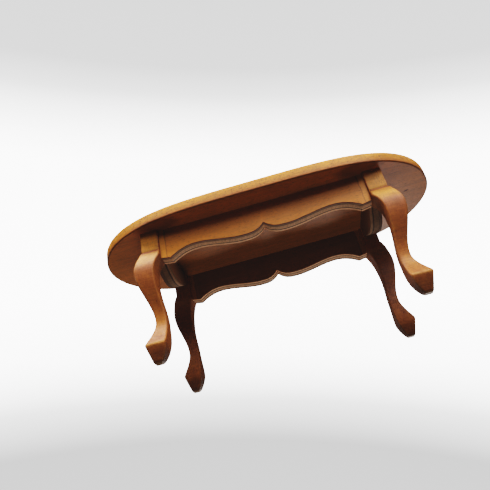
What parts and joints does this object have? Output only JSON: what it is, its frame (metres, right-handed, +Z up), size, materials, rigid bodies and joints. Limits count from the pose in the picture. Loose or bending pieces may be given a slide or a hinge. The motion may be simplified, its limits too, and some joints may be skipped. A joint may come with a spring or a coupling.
{
  "type": "miniature oval coffee table",
  "caption": "Miniature oval coffee table of stained wood, with curved cabriole legs and scalloped aprons, for a dollhouse or display.",
  "frame": {"origin": "on the floor under the middle of the oval top, at the level of the four soles", "axes": "+X along the top's long axis, +Y to the rear across it, +Z up"},
  "size_m": [0.1042, 0.0496, 0.0424],
  "materials": {
    "top_wood": "golden brown stain under a satin lacquer",
    "leg_wood": "golden brown stain under a satin lacquer, worn pale on the arrises",
    "apron_plywood": "stained plywood, satin faces and raw grey-brown cut edges"
  },
  "bodies": {
    "root": {"table_top": "top_wood", "leg_front_right": "leg_wood", "leg_front_left": "leg_wood", "leg_rear_right": "leg_wood", "leg_rear_left": "leg_wood", "apron_front": "apron_plywood", "apron_rear": "apron_plywood", "apron_right": "apron_plywood", "apron_left": "apron_plywood"}
  },
  "joints": []
}
